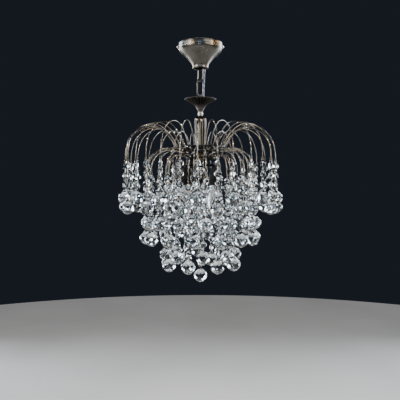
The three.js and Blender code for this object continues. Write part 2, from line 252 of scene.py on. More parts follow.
def oval(centre, width, height, azimuth, steps):
    """Points of an upright loop of that width and height, in the plane of that azimuth in radians."""
    across = Vector((math.cos(azimuth), math.sin(azimuth), 0))
    half = min(width, height) / 2
    leg = Vector((0, 0, max(0.0, height - width) / 2))
    reach = across * (max(0.0, width - height) / 2)
    points = []
    for i in range(steps):
        angle = 2 * math.pi * (i + 0.5) / steps
        c, s = math.cos(angle), math.sin(angle)
        push = leg * (1 if s > 0 else -1) + reach * (1 if c > 0 else -1)
        points.append(Vector(centre) + across * (half * c) + Vector((0, 0, half * s)) + push)
    return points


def catmull(points, per_span):
    """A smooth line through points, with per_span points from each of them to the next."""
    ends = [2 * Vector(points[0]) - Vector(points[1])] + [Vector(p) for p in points]
    ends.append(2 * ends[-1] - ends[-2])
    line = []
    for i in range(1, len(ends) - 2):
        a, b, c, d = ends[i - 1 : i + 3]
        for j in range(per_span):
            t = j / per_span
            square, cube = 2 * a - 5 * b + 4 * c - d, 3 * b - a - 3 * c + d
            line.append(0.5 * (2 * b + (c - a) * t + square * t * t + cube * t**3))
    line.append(ends[-2])
    return line


CUT_TOLERANCE = 1e-4
WELD_DISTANCE = 1e-3


def gem(size, planes):
    """Vertices and faces of a stone: a block of that size cut by planes, each a normal and a distance."""
    mesh = bmesh.new()
    bmesh.ops.create_cube(mesh, size=size)
    for normal, distance in planes:
        normal = Vector(normal).normalized()
        bmesh.ops.bisect_plane(
            mesh,
            geom=mesh.verts[:] + mesh.edges[:] + mesh.faces[:],
            dist=CUT_TOLERANCE,
            plane_co=normal * distance,
            plane_no=normal,
            clear_outer=True,
        )
        bmesh.ops.holes_fill(mesh, edges=[e for e in mesh.edges if e.is_boundary], sides=0)
    bmesh.ops.remove_doubles(mesh, verts=mesh.verts, dist=WELD_DISTANCE)
    bmesh.ops.recalc_face_normals(mesh, faces=mesh.faces)
    mesh.verts.index_update()
    vertices = [v.co.copy() for v in mesh.verts]
    faces = [tuple(v.index for v in f.verts) for f in mesh.faces]
    mesh.free()
    return vertices, faces


BALL_TOP = 18.2
# Rows of facets: latitude in degrees, how many, how far turned as a share of one, distance from the middle.
BALL_ROWS = (
    (45, 10, 0.0, 13.7), (24, 10, 0.5, 14.1), (0, 10, 0.0, 14.1), (-24, 10, 0.5, 14.1), (-47, 10, 0.0, 14.1),
    (-68, 5, 0.25, 14.4),
)
BALL_BLOCK = 44  # the blocks that the stones are cut from
BEAD_BLOCK = 30
BEAD_HALF_WIDTH = 6.85
BEAD_HALF_DEPTH = 3.5
CROWN_TILT, CROWN_DISTANCE = math.radians(38), 5.0
CORNER_TILT, CORNER_DISTANCE = math.radians(62), 6.75


def ball_stone():
    """A 30 mm ball cut in rows of facets, drawn up to the neck that its ring goes through."""
    planes = [((0, 0, 1), BALL_TOP)]
    for latitude, count, phase, distance in BALL_ROWS:
        lift = math.radians(latitude)
        for i in range(count):
            azimuth = 2 * math.pi * (i + phase) / count
            normal = (math.cos(lift) * math.cos(azimuth), math.cos(lift) * math.sin(azimuth), math.sin(lift))
            planes.append((normal, distance))
    return gem(BALL_BLOCK, planes)


def crown_normal(angle, tilt, face):
    """The direction of a facet at that angle round the face, tilted away from the face's own direction."""
    return math.cos(angle) * math.sin(tilt), face * math.cos(tilt), math.sin(angle) * math.sin(tilt)


def bead_stone():
    """A 14 mm octagon, flat front and back with a crown of facets round each face. It faces along Y."""
    planes = []
    for i in range(8):
        angle = math.pi * i / 4
        planes.append(((math.cos(angle), 0, math.sin(angle)), BEAD_HALF_WIDTH))
        for face in (-1, 1):
            planes.append((crown_normal(angle, CROWN_TILT, face), CROWN_DISTANCE))
            planes.append((crown_normal(angle + math.pi / 8, CORNER_TILT, face), CORNER_DISTANCE))
    planes += [((0, 1, 0), BEAD_HALF_DEPTH), ((0, -1, 0), BEAD_HALF_DEPTH)]
    return gem(BEAD_BLOCK, planes)


BALL = ball_stone()
BEAD = bead_stone()


# ---------------------------------------------------------------- materials

MIX_FIRST, MIX_SECOND, MIX_RESULT = 6, 7, 2  # the colour sockets of a Mix node
PAINTED_SHADE_TINT = (0.12, 0.105, 0.085)  # the painted shade of the deepest recess, as shares of the metal's dark colour


class Nodes:
    """A new material with a Principled shader, and short ways to add the nodes that feed it."""

    def __init__(self, name):
        self.material = bpy.data.materials.new(name)
        self.material.use_nodes = True
        self.tree = self.material.node_tree
        self.shader = next(n for n in self.tree.nodes if n.type == "BSDF_PRINCIPLED")
        self.coordinates = self.node("ShaderNodeTexCoord").outputs["Object"]

    def node(self, kind, **values):
        node = self.tree.nodes.new(kind)
        for key, value in values.items():
            if key in node.inputs:
                node.inputs[key].default_value = value
            else:
                setattr(node, key, value)
        return node

    def link(self, output, target):
        self.tree.links.new(output, target)

    def set(self, **values):
        for key, value in values.items():
            self.shader.inputs[key.replace("_", " ")].default_value = value

    def noise(self, scale, detail, roughness):
        node = self.node("ShaderNodeTexNoise", Scale=scale, Detail=detail, Roughness=roughness)
        self.link(self.coordinates, node.inputs["Vector"])
        return node.outputs["Fac"]

    def ramp(self, source, *stops):
        """Colours at places of a ramp; each stop is (place, colour)."""
        node = self.node("ShaderNodeValToRGB")
        ramp = node.color_ramp
        while len(ramp.elements) < len(stops):
            ramp.elements.new(0.5)
        for element, (place, colour) in zip(ramp.elements, stops):
            element.position = place
            element.color = (*colour, 1)
        self.link(source, node.inputs["Fac"])
        return node.outputs["Color"]

    def spread(self, source, low, high):
        """A noise, which stays mostly between 0.3 and 0.7, spread over low to high."""
        node = self.node("ShaderNodeMapRange")
        for key, value in (("From Min", 0.3), ("From Max", 0.7), ("To Min", low), ("To Max", high)):
            node.inputs[key].default_value = value
        self.link(source, node.inputs["Value"])
        return node.outputs["Result"]

    def bump(self, height, strength, distance):
        node = self.node("ShaderNodeBump", Strength=strength, Distance=distance)
        self.link(height, node.inputs["Height"])
        self.link(node.outputs["Normal"], self.shader.inputs["Normal"])

    def feed(self, **sources):
        for key, source in sources.items():
            self.link(source, self.shader.inputs[key.replace("_", " ")])


def metal(name, dark, mid, light, roughness, patina=60, scratch=0.15, recess_shade=False):
    """Cast or drawn metal with a patina that darkens in patches, and a fine grain. A recessed one also takes
    painted shade, darker where the piece says that it has recesses."""
    n = Nodes(name)
    n.set(Metallic=1.0)
    patches = n.noise(patina, 5, 0.65)
    fine = n.noise(900, 3, 0.6)
    colour = n.ramp(patches, (0.3, dark), (0.5, mid), (0.68, light))
    if recess_shade:
        # Painted shade: the recess attribute darkens the colour towards the tint of the deepest recess.
        mix = n.node("ShaderNodeMix", data_type="RGBA")
        attribute = n.node("ShaderNodeAttribute", attribute_name="recess")
        n.link(attribute.outputs["Fac"], mix.inputs["Factor"])
        n.link(colour, mix.inputs[MIX_FIRST])
        mix.inputs[MIX_SECOND].default_value = (*(d * tint for d, tint in zip(dark, PAINTED_SHADE_TINT)), 1)
        colour = mix.outputs[MIX_RESULT]
    n.feed(Base_Color=colour)
    n.feed(Roughness=n.spread(n.noise(patina * 3, 4, 0.7), roughness * 0.75, roughness * 1.3))
    n.bump(fine, scratch, 0.0002)
    return n.material


def crystal_material():
    """Clear cut glass, with the colour fire of its facets painted into the glass as faint blue and amber
    patches.
    """
    n = Nodes("cut_crystal")
    n.set(Transmission_Weight=1.0, IOR=1.6, Roughness=0.0)
    n.set(Sheen_Weight=0.4, Sheen_Roughness=0.14, Sheen_Tint=(1.0, 0.99, 0.97, 1.0))
    # Painted fire: patches of blue and amber tint stand in for the coloured glints of the facets.
    painted_fire = n.noise(170, 2, 0.5)
    n.feed(
        Base_Color=n.ramp(
            painted_fire,
            (0.26, (0.58, 0.82, 1.0)),
            (0.36, (0.92, 0.975, 1.0)),
            (0.61, (0.95, 0.985, 1.0)),
            (0.72, (1.0, 0.86, 0.72)),
        )
    )
    n.feed(Roughness=n.spread(n.noise(300, 3, 0.6), 0.0, 0.03))
    return n.material


def lamp_glass_material():
    n = Nodes("lamp_glass")
    n.set(Transmission_Weight=1.0, IOR=1.45)
    n.feed(Base_Color=n.ramp(n.noise(40, 3, 0.5), (0.3, (0.93, 0.95, 0.96)), (0.7, (1.0, 1.0, 1.0))))
    n.feed(Roughness=n.spread(n.noise(120, 3, 0.5), 0.20, 0.32))
    return n.material


def plastic_material(name, dark, light, roughness):
    """Moulded plastic with a fine grain and a slight unevenness of colour."""
    n = Nodes(name)
    n.feed(Base_Color=n.ramp(n.noise(90, 3, 0.5), (0.35, dark), (0.65, light)))
    n.feed(Roughness=n.spread(n.noise(400, 3, 0.6), roughness * 0.8, roughness * 1.25))
    n.bump(n.noise(1500, 2, 0.5), 0.12, 0.0001)
    return n.material


def flex_material():
    """Clear sheathing over tinned cores: pale blue-grey and glossy, with the cores' twist showing through."""
    n = Nodes("clear_flex")
    twist = n.node("ShaderNodeTexWave", Scale=55.0, Distortion=0.6, bands_direction="DIAGONAL")
    n.link(n.coordinates, twist.inputs["Vector"])
    sheath, core = (0.10, 0.125, 0.17), (0.30, 0.33, 0.38)
    n.feed(Base_Color=n.ramp(twist.outputs["Fac"], (0.1, sheath), (0.5, (0.20, 0.235, 0.29)), (0.9, core)))
    n.set(Coat_Weight=0.45, Coat_Roughness=0.12, Metallic=0.25)
    n.feed(Roughness=n.spread(n.noise(500, 3, 0.6), 0.22, 0.38))
    n.bump(twist.outputs["Fac"], 0.25, 0.0003)
    return n.material


PEWTER = metal(
    "antique_pewter", (0.19, 0.176, 0.153), (0.235, 0.222, 0.198), (0.285, 0.272, 0.246), 0.34,
    patina=30, scratch=0.04,
)
# The column's pewter, which takes painted shade in the recesses between its staves and on its shoulder.
CAST_PEWTER = metal(
    "fluted_pewter", (0.12, 0.109, 0.092), (0.19, 0.175, 0.15), (0.28, 0.265, 0.235), 0.10,
    patina=40, scratch=0.04, recess_shade=True,
)
DARK_PEWTER = metal(
    "blackened_pewter", (0.010, 0.010, 0.011), (0.020, 0.020, 0.022), (0.05, 0.048, 0.046), 0.33,
)
# The pan's pewter; the near-black of its underside is painted shade, from the recess attribute.
PAN_METAL = metal(
    "pan_pewter_painted_shade", (0.11, 0.102, 0.092), (0.20, 0.186, 0.168), (0.30, 0.28, 0.255), 0.48, recess_shade=True,
)
NICKEL = metal(
    "nickel_wire", (0.21, 0.19, 0.16), (0.33, 0.305, 0.265), (0.47, 0.44, 0.395), 0.2,
    patina=30, scratch=0.05,
)
# The tier rings' wire: nickel like the fronds', darkened all over as painted shade.
RING_METAL = metal(
    "ring_wire_painted_shade", (0.03, 0.027, 0.023), (0.06, 0.055, 0.048), (0.13, 0.12, 0.105), 0.3, patina=90,
)
PIN_METAL = metal(
    "bright_pins", (0.62, 0.58, 0.50), (0.80, 0.77, 0.70), (0.92, 0.90, 0.85), 0.16, patina=200,
)
COLLAR_METAL = metal("bright_collar", (0.50, 0.47, 0.40), (0.66, 0.63, 0.57), (0.80, 0.78, 0.72), 0.38)
BRASS = metal("old_brass", (0.10, 0.06, 0.03), (0.27, 0.19, 0.10), (0.45, 0.36, 0.23), 0.28)
CRYSTAL = crystal_material()
LAMP_GLASS = lamp_glass_material()
BLACK_PLASTIC = plastic_material("black_thermoset", (0.003, 0.003, 0.003), (0.007, 0.007, 0.007), 0.5)
WHITE_PLASTIC = plastic_material("ivory_thermoplastic", (0.62, 0.60, 0.54), (0.72, 0.70, 0.64), 0.45)
FLEX = flex_material()


# ---------------------------------------------------------------- placing


def finished(shape, name, material, body, slot, *nodes):
    """Makes the piece, rides it on its body, and hides the CAD nodes that it stands for."""
    obj = shape.piece(name, material)
    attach(obj, body)
    if nodes:
        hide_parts(*nodes)
    return obj


def shade_recesses(obj, depth):
    """Stores how deep in a recess each vertex lies, from 0 to 1, for the painted shade."""
    attribute = obj.data.attributes.new("recess", "FLOAT", "POINT")
    attribute.data.foreach_set("value", [depth(*(v.co / MM)) for v in obj.data.vertices])


def raised(profile):
    return [(radius, RIM_Z + z) for radius, z in profile]


# ---------------------------------------------------------------- flex


def add_flex():
    """The flex runs from the coupler in the pan up beside the chain and through the cup's hole to the
    terminals."""
    line = catmull(FLEX_POINTS, 5)
    shape = Shape()
    wire(shape, line, FLEX_DIAMETER / 2, sides=20)
    flex = shape.piece("flex_cable", FLEX)
    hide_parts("flex")
    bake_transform(flex)


add_flex()


# ---------------------------------------------------------------- crystals


BEAD_PITCH = 19.3
# Drops and rises are from the point that a stone hangs at.
BEAD_CENTRE_DROP = 9.5
BALL_CENTRE_DROP = 16.1
PIN_RISE = 4.6
FIRST_PIN_RISE = 1.5  # through the loop of a frond, where the others go through a bead
PIN_DROP = 4.4
BALL_PIN_DROP = 0.6
PIN_RADIUS = 0.45
BEAD_PIN_WIDTH = 5.2
BALL_PIN_WIDTH = 6.0
MOST_TURN = 0.6  # in radians, from one bead to the next


def add_stone(crystals, stone, centre, yaw):
    vertices, faces = stone
    matrix = Matrix.Translation(centre) @ Matrix.Rotation(yaw, 4, "Z")
    crystals.add(transformed(vertices, matrix), faces, smooth=False)


def add_pin(pins, x, y, top, bottom, azimuth, width):
    """A bent pin that joins two stones: an upright loop through the hole of each."""
    centre = (x, y, (top + bottom) / 2)
    wire(pins, oval(centre, width, top - bottom, azimuth, 16), PIN_RADIUS, sides=6, closed=True)


def add_strand(crystals, pins, tip, beads):
    """Beads hanging one below the other from a tip, and the ball at the end."""
    x, y = tip.x, tip.y
    turn = draw.uniform(0, math.pi)
    for bead in range(beads):
        top = tip.z - bead * BEAD_PITCH
        step = draw.uniform(-MOST_TURN, MOST_TURN)
        pin_top = top + (PIN_RISE if bead else FIRST_PIN_RISE)
        add_pin(pins, x, y, pin_top, top - PIN_DROP, turn + step / 2 + math.pi / 2, BEAD_PIN_WIDTH)
        turn += step
        add_stone(crystals, BEAD, (x, y, top - BEAD_CENTRE_DROP), turn)
    end = tip.z - beads * BEAD_PITCH
    add_pin(pins, x, y, end + PIN_RISE, end - BALL_PIN_DROP, turn + math.pi / 2, BALL_PIN_WIDTH)
    add_stone(crystals, BALL, (x, y, end - BALL_CENTRE_DROP), draw.uniform(0, 2 * math.pi))


# ---------------------------------------------------------------- tiers of fronds


FROND_RADIUS = 0.95
LOOP_RADIUS = 2.1
LOOP_WIRE_RADIUS = 0.85
LOOP_RISE = LOOP_RADIUS + 0.7  # of the loop's middle above the tip that a strand hangs at
FROND_END_RISE = 2 * LOOP_RADIUS + 0.6
SPAN_STEPS = 18  # in each half of an arch
RING_WIRE_RADIUS = 2.0
FOOT_DEPTH, FOOT_HEIGHT = 1.6, 3.2  # below and above the middle of the ring's wire
FOOT_RADII = [2.1, 1.6]


def azimuth_of(tier, index):
    """The azimuth of a frond, a little off the even spacing as on a hand-made tier."""
    scatter = 0.08 * math.sin(2.4 * index)
    return math.radians(FRONT + tier["phase"] + (index + scatter) * 360 / tier["count"])


def tip_of(tier, index):
    radius = tier["arch"][-1][0]
    angle = azimuth_of(tier, index)
    return Vector((radius * math.cos(angle), radius * math.sin(angle), RIM_Z + tier["tip_z"][index % 2]))


def bezier(a, b, c, d, t):
    s = 1 - t
    return s**3 * a + 3 * s * s * t * b + 3 * s * t * t * c + t**3 * d


def add_frond(fronds, tier, index):
    """A wire that rises from its ring, arches over and comes straight down to the loop for its strand."""
    angle = azimuth_of(tier, index)
    out = Vector((math.cos(angle), math.sin(angle), 0))
    arch = [out * radius + Vector((0, 0, RIM_Z + z)) for radius, z in tier["arch"]]
    line = [bezier(*arch[0:4], i / SPAN_STEPS) for i in range(SPAN_STEPS)]
    line += [bezier(*arch[3:7], i / SPAN_STEPS) for i in range(SPAN_STEPS)]
    tip = tip_of(tier, index)
    line.append(arch[-1])
    line.append(tip + Vector((0, 0, FROND_END_RISE)))
    wire(fronds, line, FROND_RADIUS, sides=10)
    loop = oval(tip + Vector((0, 0, LOOP_RISE)), 2 * LOOP_RADIUS, 2 * LOOP_RADIUS, angle, 14)
    wire(fronds, loop, LOOP_WIRE_RADIUS, sides=7, closed=True)


def add_ring(ring, tier):
    """The ring that a tier's fronds stand on, with a tapered foot for each of them."""
    radius, z = tier["ring"]
    steps = 4 * tier["count"]
    line = []
    for i in range(steps):
        angle = azimuth_of(tier, 0) + 2 * math.pi * i / steps
        line.append(Vector((radius * math.cos(angle), radius * math.sin(angle), RIM_Z + z)))
    wire(ring, line, RING_WIRE_RADIUS, sides=12, closed=True)
    for index in range(tier["count"]):
        angle = azimuth_of(tier, index)
        foot = Vector((radius * math.cos(angle), radius * math.sin(angle), RIM_Z + z))
        stub = [foot - Vector((0, 0, FOOT_DEPTH)), foot + Vector((0, 0, FOOT_HEIGHT))]
        wire(ring, stub, FOOT_RADII, sides=10)


def add_outer_tier():
    """The tier whose strands swing, each of them a body of its own."""
    ring, fronds = Shape(), Shape()
    add_ring(ring, OUTER)
    finished(ring, "outer_tier_ring", RING_METAL, "chandelier", "nickel")
    for index in range(OUTER["count"]):
        add_frond(fronds, OUTER, index)
    finished(fronds, "outer_tier_fronds", NICKEL, "chandelier", "nickel", "outer_fronds")
    for index in range(OUTER["count"]):
        crystals, pins = Shape(), Shape()
        add_strand(crystals, pins, tip_of(OUTER, index), OUTER["beads"][index % 2])
        body = f"outer_strand_{index + 1:02d}"
        finished(crystals, f"{body}_crystals", CRYSTAL, body, "crystal", body)
        finished(pins, f"{body}_pins", PIN_METAL, body, "nickel")


def add_inner_tier(name, tier):
    """A tier that is one CAD node. Its strands don't swing, so each kind of piece is one mesh."""
    ring, fronds, crystals, pins = Shape(), Shape(), Shape(), Shape()
    add_ring(ring, tier)
    finished(ring, f"{name}_ring", RING_METAL, "chandelier", "nickel")
    for index in range(tier["count"]):
        add_frond(fronds, tier, index)
        add_strand(crystals, pins, tip_of(tier, index), tier["beads"][index % 2])
    finished(crystals, f"{name}_crystals", CRYSTAL, "chandelier", "crystal", name)
    finished(fronds, f"{name}_fronds", NICKEL, "chandelier", "nickel")
    finished(pins, f"{name}_pins", PIN_METAL, "chandelier", "nickel")


def add_centre_strand():
    crystals, pins = Shape(), Shape()
    add_strand(crystals, pins, CENTRE_TIP, CENTRE_BEADS)
    finished(crystals, "centre_strand_crystals", CRYSTAL, "centre_strand", "crystal", "centre_strand")
    finished(pins, "centre_strand_pins", PIN_METAL, "centre_strand", "nickel")


add_outer_tier()
add_inner_tier("middle_tier", MIDDLE)
add_inner_tier("lower_tier", LOWER)
add_centre_strand()


# ---------------------------------------------------------------- body of the chandelier

PAN_RADIUS = 33.5
PAN_FLUTES = 24
PAN_FLUTE_START = 11  # the radius at which the flutes begin
PAN_NECK_RADIUS = 8.5
PAN_NECK_FADE = 7
RIM_STEPS = 240


def share(value, start, length):
    """How much of a length from start has been passed, from 0 to 1. A negative length runs downwards."""
    return min(1.0, max(0.0, (value - start) / length))


def pan_wave(radius, z, angle):
    """Flutes that deepen from the neck to the rim, which they scallop and lift."""
    depth = max(0.0, (radius - PAN_FLUTE_START) / (PAN_RADIUS - PAN_FLUTE_START))
    wave = math.cos(PAN_FLUTES * angle)
    return 1 + 0.02 * depth * wave, 0.65 * depth * wave


def pan_painted_shade(x, y, z):
    """Painted shade: none on the neck, and the ribs darken outwards, with black hollows between them."""
    radius = math.hypot(x, y)
    hollow = 0.5 - 0.5 * math.cos(PAN_FLUTES * math.atan2(y, x))
    return share(radius, PAN_NECK_RADIUS, PAN_NECK_FADE) ** 0.6 * (0.5 + 0.5 * hollow ** 0.5)


def add_drip_pan():
    """A bell of thin metal, fluted from its neck out to the scalloped rim."""
    outside = [
        (5.4, -26), (6.2, -24.2), (8.1, -20.5), (9.5, -17.5), (11.6, -14.5), (15.8, -11.0), (20.8, -7.9),
        (25.5, -5.4), (29.8, -2.9), (32.4, -1.3), (PAN_RADIUS, 0.0),
    ]
    inside = [
        (33.1, 0.7), (31.9, 0.5), (29.0, -1.4), (24.8, -3.9), (20, -6.2), (15.0, -9.4), (10.7, -13),
        (8.6, -16.2), (7.2, -19.6), (4.3, -20.2), (4.3, -26),
    ]
    shape = Shape()
    lathe(shape, raised(outside + inside), RIM_STEPS, wave=pan_wave)
    pan = finished(shape, "drip_pan_shell", PAN_METAL, "chandelier", "dark_pewter", "drip_pan")
    # Painted shade on the underside: darker outwards, and darkest in the hollows of the flutes.
    shade_recesses(pan, pan_painted_shade)
    add_pan_lip()


def add_pan_lip():
    """The rolled edge that follows the pan's scalloped rim."""
    lip, line = Shape(), []
    for i in range(RIM_STEPS):
        angle = 2 * math.pi * i / RIM_STEPS
        factor, rise = pan_wave(PAN_RADIUS, 0, angle)
        r = (PAN_RADIUS - 0.2) * factor
        line.append((r * math.cos(angle), r * math.sin(angle), RIM_Z + 0.35 + rise))
    wire(lip, line, 0.5, sides=8, closed=True)
    finished(lip, "drip_pan_lip", PEWTER, "chandelier", "pewter")


COLUMN_FLUTES = 10
COLUMN_FOOT = -117  # heights of the column's ends and shoulder
COLUMN_TOP = -36
COLUMN_SHOULDER = -38.5


def column_wave(radius, z, angle):
    """Round staves with a sharp recess between each two, fading at both ends."""
    height = z - RIM_Z
    fade = min(share(height, COLUMN_FOOT, 5), share(height, COLUMN_SHOULDER, -5))
    stave = abs(math.cos(COLUMN_FLUTES * angle / 2)) ** 0.7
    return 1 + fade * (0.13 * stave - 0.095), 0.0


def column_painted_shade(x, y, z):
    """Painted shade: the top of the shoulder, under the collar, is darkened, and so are the recesses between
    the staves.
    """
    height = z - RIM_Z
    stave = abs(math.cos(COLUMN_FLUTES * math.atan2(y, x) / 2))
    inset = min(share(height, COLUMN_FOOT + 1, 5), share(height, COLUMN_SHOULDER - 0.5, -4))
    shoulder = share(height, COLUMN_SHOULDER - 1, 2.5) * 0.8
    return max(shoulder, inset * max(0.0, 1 - stave * 2.2))


def add_column():
    """The turned and fluted column, wide at its shoulder and tapering to its foot."""
    profile = [
        (4.3, COLUMN_FOOT), (9.0, COLUMN_FOOT), (9.25, -115.5), (9.5, -112), (9.9, -104), (10.3, -95),
        (10.7, -86), (11.2, -76), (11.7, -65), (12.1, -56), (12.35, -49), (12.35, -45), (12.1, -42.2),
        (11.5, -40.2), (10.3, -38.8), (8.6, -37.6), (7.2, -36.7), (5.6, -36.1), (4.3, COLUMN_TOP),
    ]
    shape = Shape()
    lathe(shape, raised(profile), 160, wave=column_wave)
    column = finished(shape, "fluted_column", CAST_PEWTER, "chandelier", "pewter", "column")
    # Painted shade in the recesses between the staves and on top of the shoulder, under the collar.
    shade_recesses(column, column_painted_shade)


def add_column_foot():
    foot = Shape()
    profile = [
        (4.3, -131), (8.2, -131), (9.4, -130), (9.8, -128.6), (9.4, -127.2), (8.4, -126.2), (7.6, -124.6),
        (7.4, -122.2), (8.0, -120.6), (9.2, -119.7), (9.5, -118.6), (9.2, -117.5), (4.3, -117.4),
    ]
    lathe(foot, raised(profile), 80)
    finished(foot, "column_foot_moulding", BRASS, "chandelier", "brass", "column_foot")


def add_neck():
    """The bright collar between column and pan, and the coupler's cap inside the pan."""
    collar = Shape()
    profile = [
        (4.3, -35.5), (4.8, -35.5), (5.3, -34.4), (5.0, -33.3), (5.5, -31.5), (5.6, -30.2), (5.2, -28.8),
        (4.9, -27.6), (5.2, -26.9), (4.9, -26.4), (4.3, -26.4),
    ]
    lathe(collar, raised(profile), 64)
    finished(collar, "neck_collar_turned", COLLAR_METAL, "chandelier", "nickel", "neck_collar")
    coupler = Shape()
    profile = [
        (4.3, -19), (6.2, -19), (6.2, -13), (7.2, -12.4), (9.4, -12.0), (10, -11.4), (10, -6.0), (9.2, -5.2),
        (2.3, -5.2), (2.3, -7.2), (9, -7.2), (9, -11.6), (4.3, -12.4),
    ]
    lathe(coupler, raised(profile), 64)
    finished(coupler, "coupler_cap", PEWTER, "chandelier", "pewter", "coupler")


ARM_COUNT = 6
ARM_START = Vector((9, 0, RIM_Z - 134.5))
ARM_END = Vector((51.6, 0, RIM_Z - 105.4))
ARM_STEPS = 12
ARM_SAG = 3.0
ARM_HALF_WIDTH = 2.9  # at the boss; it narrows by ARM_TAPER to the ring
ARM_TAPER = 0.9
ARM_HALF_THICKNESS = 1.1
ARM_EDGE_HALF_THICKNESS = 0.7
ARM_EDGE_WIDTH = 0.5


def arm_section(half):
    """The eight corners of an arm's section, as (y, z) round it, for half of its width."""
    top, edge = ARM_HALF_THICKNESS, ARM_EDGE_HALF_THICKNESS
    flat = half - ARM_EDGE_WIDTH
    return (
        (-half, -edge), (-flat, -top), (flat, -top), (half, -edge),
        (half, edge), (flat, top), (-flat, top), (-half, edge),
    )


def add_hub():
    """The boss under the column and the six flat arms that carry the ring of the outer tier."""
    hub = Shape()
    profile = [(4.3, -137.5), (11.2, -137.5), (12, -136.7), (12, -132.2), (11.2, -131.4), (4.3, -131.4)]
    lathe(hub, raised(profile), 64)
    rows = ARM_STEPS + 1
    for arm in range(ARM_COUNT):
        turn = Matrix.Rotation(arm * 2 * math.pi / ARM_COUNT, 4, "Z")
        vertices = []
        for i in range(rows):
            t = i / ARM_STEPS
            middle = ARM_START.lerp(ARM_END, t) - Vector((0, 0, ARM_SAG * math.sin(math.pi * t)))
            for y, z in arm_section(ARM_HALF_WIDTH - ARM_TAPER * t):
                vertices.append(turn @ (middle + Vector((0, y, z))))
        ends = [tuple(reversed(range(8))), tuple(range(8 * ARM_STEPS, 8 * rows))]
        hub.add(vertices, grid_faces(rows, 8) + ends, smooth=False)
    finished(hub, "hub_with_arms", DARK_PEWTER, "chandelier", "dark_pewter", "hub_spider")


def add_finial():
    """The turned knob at the bottom of the stem, with the loop that the centre strand hangs in."""
    finial = Shape()
    profile = [
        (0, -166), (1.4, -165.4), (2, -164.2), (1.7, -162.6), (2.6, -160.6), (5.2, -158.6), (7.5, -155.6),
        (8.5, -151.5), (8.3, -149), (7.2, -147.4), (7.6, -146.4), (7, -145.4), (0, -145.4),
    ]
    lathe(finial, raised(profile), 64)
    loop = oval((0, 0, RIM_Z - 166.2), 4.0, 4.0, 0.4, 16)
    wire(finial, loop, 0.6, sides=8, closed=True)
    finished(finial, "finial_knob", PIN_METAL, "chandelier", "nickel", "finial")


LAMP_COUNT = 3
LAMP_DISTANCE = 36  # of each lamp's axis from the middle
LAMP_ARM = (
    (7, -141.5), (16, -141.2), (24, -141.3), (30, -141.6), (33.6, -142.8), (35.4, -145),
    (LAMP_DISTANCE, -148.2),
)
# An E14 holder, a candle bulb and its screw cap, as (radius, height) from the drip pan's rim.
HOLDER = (
    (0, -158), (7.6, -158), (7.9, -184), (13.2, -184), (13.5, -183), (13.5, -180.6), (12.9, -180.2),
    (12.9, -179.2), (13.5, -178.8), (13.5, -176.6), (12.9, -176.2), (12.9, -175.2), (13.5, -174.8),
    (13.5, -162), (12.8, -159.4), (10.9, -157), (10.5, -154.6), (10.5, -149.2), (9.8, -148.4), (0, -148.4),
)
BULB = (
    (0, -262), (1.6, -261), (3.4, -258), (5.6, -252.6), (8.6, -245.4), (11.4, -238.6), (14.2, -231),
    (16.3, -223.6), (17, -217.6), (16.7, -211.6), (15.3, -205), (13, -198.6), (10.6, -193), (8.6, -188),
    (7.5, -184.6), (7.2, -182), (0, -182),
)
CAP_RADIUS = 6.4
CAP_THREAD = [(CAP_RADIUS + 0.5 * (i % 2), -162.4 - 1.2 * i) for i in range(15)]
CAP = [(0, -159.2), (3, -159.4), (6.2, -161.6), *CAP_THREAD, (CAP_RADIUS, -181.6), (0, -181.6)]


def lamp_azimuth(index):
    return math.radians(90 + 360 / LAMP_COUNT * index)


def add_lamp_arms():
    """The boss on the stem and the bent arms that the lamps hang from."""
    arms = Shape()
    lathe(arms, raised([(4.3, -145), (8.4, -145), (9, -144.2), (9, -138.8), (8.4, -138), (4.3, -138)]), 48)
    for index in range(LAMP_COUNT):
        angle = lamp_azimuth(index)
        out = Vector((math.cos(angle), math.sin(angle), 0))
        line = [out * r + Vector((0, 0, RIM_Z + z)) for r, z in LAMP_ARM]
        wire(arms, catmull(line, 4), 2.4, sides=12)
    finished(arms, "lamp_arms", DARK_PEWTER, "chandelier", "dark_pewter", "lamp_spider")


def add_lamp(index):
    """One lampholder and its bulb, pointing down."""
    number = index + 1
    angle = lamp_azimuth(index)
    centre = (LAMP_DISTANCE * math.cos(angle), LAMP_DISTANCE * math.sin(angle))
    holder, glass, cap = Shape(), Shape(), Shape()
    lathe(holder, raised(HOLDER), 48, centre=centre)
    lathe(glass, raised(BULB), 48, centre=centre)
    lathe(cap, raised(CAP[::-1]), 40, centre=centre)
    socket, bulb = f"lampholder_{number}", f"bulb_{number}"
    finished(holder, f"{socket}_shell", BLACK_PLASTIC, "chandelier", "black_plastic", socket)
    finished(glass, f"{bulb}_glass", LAMP_GLASS, "chandelier", "lamp_glass", bulb)
    finished(cap, f"{bulb}_cap", BRASS, "chandelier", "brass")


# ---------------------------------------------------------------- chain and ceiling fitting

LINK_AZIMUTH = 38.0
CROSS_AZIMUTH = LINK_AZIMUTH - 90
LINK_WIDTH, LINK_HEIGHT = 17, 37
LOWER_LINK_Z = -96.0
UPPER_LINK_Z = -62.4
EYE_Z = RIM_Z + 3.2
HOOK_Z = -41.4


def add_links():
    for name, azimuth, z in (("lower", LINK_AZIMUTH, LOWER_LINK_Z), ("upper", CROSS_AZIMUTH, UPPER_LINK_Z)):
        shape = Shape()
        line = oval((0, 0, z), LINK_WIDTH, LINK_HEIGHT, math.radians(azimuth), 48)
        wire(shape, line, 1.5, sides=14, closed=True)
        node = f"chain_link_{name}"
        finished(shape, f"{node}_wire", PEWTER, "chain", "pewter", node)


